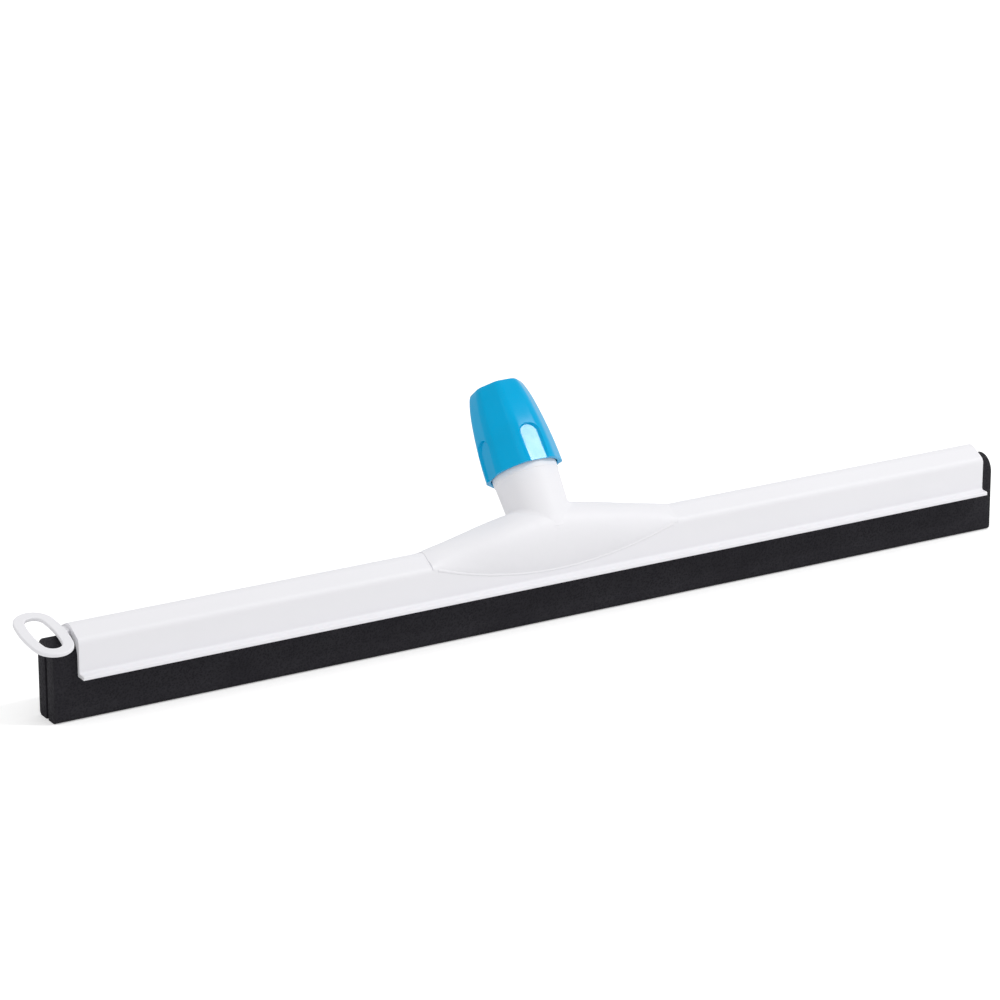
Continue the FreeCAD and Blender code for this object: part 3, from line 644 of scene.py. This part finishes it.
class SQUEEGEE_OT_neck_blend(bpy.types.Operator):
    """Lays a soft fillet in the corner between the neck and the hub"""
    bl_idname = "squeegee.neck_blend"
    bl_label = "Neck blend"

    def execute(self, context):
        size = sizes()
        holder = frame["nodes"]["blade_holder"]
        across = Vector((1, 0, 0))
        back = NECK_AXIS.cross(across).normalized()
        reach = size.blend
        count, points = BLEND_COLUMNS, BLEND_STEPS + 4
        # the rays: where they start, how far they go and the lowest hit that counts
        top, drop, lowest, away, clearance = 26 * MM, 34 * MM, -6 * MM, 6 * MM, 0.04 * MM
        # steepest fall of the hub, in reaches, that the fillet still follows
        steepest = 1.3
        # how deep the fillet's upper and lower edges and its hidden root lie in the holder
        upper_tuck, lower_tuck, lower_root, root = 0.05 * MM, 0.03 * MM, 0.6 * MM, 0.8 * MM

        def wall(turn_share, distance, off):
            """A place off the neck's cone, at a distance along the neck from its root."""
            angle = 2 * math.pi * turn_share
            growth = (size.neck_land - size.neck_foot) * distance / size.neck_land_start
            radius = size.neck_foot + growth + off
            out = across * math.cos(angle) + back * math.sin(angle)
            return NECK_ROOT + NECK_AXIS * distance + out * radius

        def landing(turn_share, off):
            """How far from the neck's root a ray down the cone's side meets the hub."""
            start = wall(turn_share, top, off)
            down = (wall(turn_share, 0.0, off) - start).normalized()
            hit, place = holder.ray_cast(start, down, distance=drop)[:2]
            height = (place - NECK_ROOT).dot(NECK_AXIS)
            return height if hit and height > lowest else None

        def facing(turn_share, distance):
            """How far off the cone a ray towards the neck meets the hub."""
            start = wall(turn_share, distance, away)
            inward = (wall(turn_share, distance, 0.0) - start).normalized()
            hit, place = holder.ray_cast(start, inward, distance=2 * away)[:2]
            return away - (place - start).length if hit else 0.0

        def smoothed(row, repeats):
            for repeat in range(repeats):
                row = [(row[i - 1] + 2 * row[i] + row[(i + 1) % count]) / 4
                       for i in range(count)]
            return row

        shares = [index / count for index in range(count)]
        corner = [landing(share, clearance) for share in shares]
        # in front the neck runs past the hub, and its corner is where it bows down
        corner = smoothed([size.neck_bow if start is None else start for start in corner], 4)
        edge, reaches = [], []
        for share, start in zip(shares, corner):
            floor = landing(share, reach)
            if floor is not None and start - floor < steepest * reach:
                edge.append(floor)
                reaches.append(reach)
            else:
                edge.append(start - reach)
                reaches.append(facing(share, start - reach))
        edge, reaches = smoothed(edge, 3), smoothed(reaches, 3)
        clear_selection()
        bpy.ops.mesh.primitive_torus_add(major_segments=count, minor_segments=points,
                                         major_radius=16 * MM, minor_radius=2 * MM)
        blend = context.object
        name_piece(blend, "neck_blend")
        for index, share in enumerate(shares):
            high = wall(share, corner[index] + reach, -upper_tuck)
            knee = wall(share, corner[index], 0.0)
            low = wall(share, edge[index] - lower_tuck, reaches[index] - lower_tuck)
            places = []
            for step in range(BLEND_STEPS + 1):
                part = step / BLEND_STEPS
                places.append(high * (1 - part) ** 2 + knee * 2 * part * (1 - part)
                              + low * part ** 2)
            places.append(wall(share, edge[index] - lower_root, reaches[index] - lower_root))
            places.append(wall(share, corner[index] - root, -root))
            places.append(wall(share, corner[index] + reach, -root))
            for offset, place in enumerate(places):
                blend.data.vertices[index * points + offset].co = place
        settle(blend)
        smooth(blend, 60.0)
        give_material(blend, white_plastic("holder_satin", colours().holder))
        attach(blend, "holder")
        return {"FINISHED"}


class SQUEEGEE_OT_strip(bpy.types.Operator):
    """Finishes the core strip in the fold of the blade"""
    bl_idname = "squeegee.strip"
    bl_label = "Core strip"

    def execute(self, context):
        strip = frame["nodes"]["core_strip"]
        give_material(strip, white_plastic("strip_natural", colours().strip,
                                           low=0.5, high=0.65))
        return {"FINISHED"}


# ---------------------------------------------------------------- ring nut

# height over the rim and corner radius of the nut's outside, in millimetres
NUT_STATIONS = (
    (0.0, 20.9), (5.0, 20.76), (10.3, 20.48), (14.6, 20.15), (18.8, 19.74), (23.0, 19.26),
    (26.8, 18.78), (30.6, 18.23), (34.4, 17.6), (38.0, 16.86), (41.5, 15.96), (44.4, 15.0),
    (45.6, 14.42), (46.3, 13.95), (46.7, 13.3), (46.8, 12.75),
)
SIDES = 8
SIDE_HALF_TURN = math.pi / SIDES
FLUTES = 4
# a flute cutter's height over the floor that it cuts, and how its walls lean outwards
CUTTER_HEIGHT = 6 * MM
CUTTER_SPREAD = 1.3
CUTTER_LIFT = 0.5


class SQUEEGEE_OT_nut(bpy.types.Operator):
    """Draws up the eight-sided nut, turns it in at the mouth and cuts its four flutes"""
    bl_idname = "squeegee.nut"
    bl_label = "Ring nut"

    def scale_ring(self, share, height):
        bpy.ops.transform.resize(value=(share, share, 1.0), center_override=(0, 0, height))

    def extrude_to(self, height, radius, from_height, from_radius):
        bpy.ops.mesh.extrude_region_move(
            TRANSFORM_OT_translate={"value": (0, 0, height - from_height)})
        self.scale_ring(radius / from_radius, height)

    def flute_cutter(self, size, floor, quarter):
        """A round-topped block over the flute's floor, on one of the nut's four sides."""
        half = size.flute_width / 2
        arc_centre = size.flute_length - half
        middle = floor + CUTTER_HEIGHT / 2
        clear_selection()
        bpy.ops.mesh.primitive_cylinder_add(
            vertices=64, radius=half, depth=CUTTER_HEIGHT,
            location=(0, -middle, arc_centre), rotation=(math.radians(90), 0, 0))
        cutter = bpy.context.object
        bpy.ops.object.transform_apply(location=True, rotation=True, scale=True)
        edit(cutter)
        bpy.ops.mesh.select_all(action="SELECT")
        bpy.ops.mesh.bisect(plane_co=(0, 0, arc_centre), plane_no=(0, 0, 1), clear_inner=True)
        pick(cutter, "EDGE", is_open)
        bpy.ops.mesh.extrude_region_move(
            TRANSFORM_OT_translate={"value": (0, 0, -arc_centre - CUTTER_HEIGHT)})
        bpy.ops.mesh.edge_face_add()
        pick(cutter, "VERT", lambda vert, place: vert.co.y < -middle)
        share = CUTTER_HEIGHT / half
        bpy.ops.transform.resize(
            value=(1.0 + CUTTER_SPREAD * share, 1.0, 1.0 + CUTTER_LIFT * share),
            center_override=(0, -(floor + CUTTER_HEIGHT), arc_centre))
        bpy.ops.mesh.select_all(action="SELECT")
        bpy.ops.transform.rotate(value=size.flute_slope, orient_axis="X",
                                 center_override=(0, -floor, 0))
        bpy.ops.transform.rotate(value=math.tau / FLUTES * quarter, orient_axis="Z",
                                 center_override=(0, 0, 0))
        settle(cutter)
        return cutter

    def execute(self, context):
        size = sizes()
        clear_selection()
        rim = NUT_STATIONS[0][1] * MM
        first = NUT_STATIONS[1][0] * MM
        bpy.ops.mesh.primitive_cylinder_add(
            vertices=SIDES, radius=rim, depth=first, end_fill_type="NOTHING",
            location=(0, 0, first / 2), rotation=(0, 0, SIDE_HALF_TURN))
        nut = context.object
        name_piece(nut, "grip_nut")
        select_only(nut)
        bpy.ops.object.transform_apply(location=True, rotation=True, scale=True)
        edit(nut)
        pick(nut, "EDGE",
             lambda edge, place: abs(edge.verts[0].co.z - edge.verts[1].co.z) > first / 2)
        bpy.ops.mesh.bevel(offset=size.nut_corner, segments=6, affect="EDGES")
        flat_length = 6 * MM
        pick(nut, "EDGE",
             lambda edge, place: edge.calc_length() > flat_length and is_level(edge))
        bpy.ops.mesh.subdivide(number_cuts=5)
        pick(nut, "VERT", lambda vert, place: vert.co.z > first / 2)
        height, radius = first, NUT_STATIONS[1][1] * MM
        self.scale_ring(radius / rim, height)
        pick(nut, "EDGE", lambda edge, place: place.z > first - CLOSE)
        for level, width in NUT_STATIONS[2:]:
            self.extrude_to(level * MM, width * MM, height, radius)
            height, radius = level * MM, width * MM
        # the mouth is round: the ring of eight flats is drawn onto a circle
        bpy.ops.mesh.extrude_region_move(TRANSFORM_OT_translate={"value": (0, 0, 0)})
        bpy.ops.transform.tosphere(value=1.0, center_override=(0, 0, height))
        shape = bmesh.from_edit_mesh(nut.data)
        chosen = [vert.co.xy.length for vert in shape.verts if vert.select]
        self.scale_ring(size.mouth_radius * len(chosen) / sum(chosen), height)
        # down the inside: mouth, shoulder and cone over the collet, thread bore, skirt
        radius = size.mouth_radius
        shoulder, rim_softening = 43.2 * MM, 0.4 * MM
        for level, width in ((shoulder, size.mouth_radius), (shoulder, 12.3 * MM),
                             (27.8 * MM, size.bore_radius), (9.2 * MM, size.bore_radius),
                             (8.0 * MM, size.skirt_radius), (0.6 * MM, size.skirt_radius),
                             (0.0, size.skirt_radius + rim_softening)):
            self.extrude_to(level, width, height, radius)
            height, radius = level, width
        pick(nut, "EDGE", is_open)
        bpy.ops.mesh.bridge_edge_loops()
        settle(nut)

        floor = rim * math.cos(SIDE_HALF_TURN) - size.flute_depth
        for quarter in range(FLUTES):
            cutter = self.flute_cutter(size, floor, quarter)
            apply_modifier(nut, "BOOLEAN", "flute", operation="DIFFERENCE", object=cutter,
                           solver="EXACT")
            bpy.data.objects.remove(cutter)
        apply_modifier(nut, "BEVEL", "soft_edges", width=size.nut_edge, segments=3,
                       limit_method="ANGLE", angle_limit=math.radians(24))
        settle(nut)
        smooth(nut, 30.0)
        apply_modifier(nut, "WEIGHTED_NORMAL", "flat_facets", keep_sharp=True, weight=100)
        give_material(nut, blue_plastic("nut_gloss", colours().nut))
        stand_on_neck(nut, size.nut_rim_height)
        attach(nut, "nut")
        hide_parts("ring_nut")
        return {"FINISHED"}


class SQUEEGEE_OT_collet(bpy.types.Operator):
    """Finishes the split sleeve that grips the handle"""
    bl_idname = "squeegee.collet"
    bl_label = "Handle collet"

    def execute(self, context):
        collet = frame["nodes"]["handle_collet"]
        give_material(collet, white_plastic("collet_satin", colours().collet,
                                            low=0.4, high=0.5))
        return {"FINISHED"}


class SQUEEGEE_OT_ring(bpy.types.Operator):
    """Finishes the hanging ring"""
    bl_idname = "squeegee.ring"
    bl_label = "Hanging ring"

    def execute(self, context):
        ring = frame["nodes"]["hanging_ring"]
        give_material(ring, white_plastic("ring_satin", colours().ring))
        return {"FINISHED"}


# ---------------------------------------------------------------- panel and main

class SQUEEGEE_PT_panel(bpy.types.Panel):
    """Lists the pieces of the squeegee head"""
    bl_idname = "SQUEEGEE_PT_panel"
    bl_label = "Squeegee head"
    bl_space_type = "VIEW_3D"
    bl_region_type = "UI"
    bl_category = "Squeegee"

    def draw(self, context):
        for operator in OPERATORS:
            self.layout.operator(operator.bl_idname)
        for group in (context.scene.squeegee_sizes, context.scene.squeegee_colours):
            box = self.layout.box()
            for name in group.bl_rna.properties.keys():
                if name not in ("rna_type", "name"):
                    box.prop(group, name)


OPERATORS = (SQUEEGEE_OT_stage, SQUEEGEE_OT_blade, SQUEEGEE_OT_holder, SQUEEGEE_OT_hub_bead,
             SQUEEGEE_OT_neck_blend, SQUEEGEE_OT_strip, SQUEEGEE_OT_nut, SQUEEGEE_OT_collet,
             SQUEEGEE_OT_ring)
CLASSES = (SqueegeeSizes, SqueegeeColours) + OPERATORS + (SQUEEGEE_PT_panel,)


def register():
    for kind in CLASSES:
        bpy.utils.register_class(kind)
    bpy.types.Scene.squeegee_sizes = bpy.props.PointerProperty(type=SqueegeeSizes)
    bpy.types.Scene.squeegee_colours = bpy.props.PointerProperty(type=SqueegeeColours)


def unregister():
    del bpy.types.Scene.squeegee_sizes
    del bpy.types.Scene.squeegee_colours
    for kind in reversed(CLASSES):
        bpy.utils.unregister_class(kind)


def main():
    register()
    bpy.ops.squeegee.stage()
    bpy.ops.squeegee.blade()
    bpy.ops.squeegee.holder()
    bpy.ops.squeegee.hub_bead()
    bpy.ops.squeegee.neck_blend()
    bpy.ops.squeegee.strip()
    bpy.ops.squeegee.nut()
    bpy.ops.squeegee.collet()
    bpy.ops.squeegee.ring()
    object_mode()


if __name__ == "__main__":
    main()
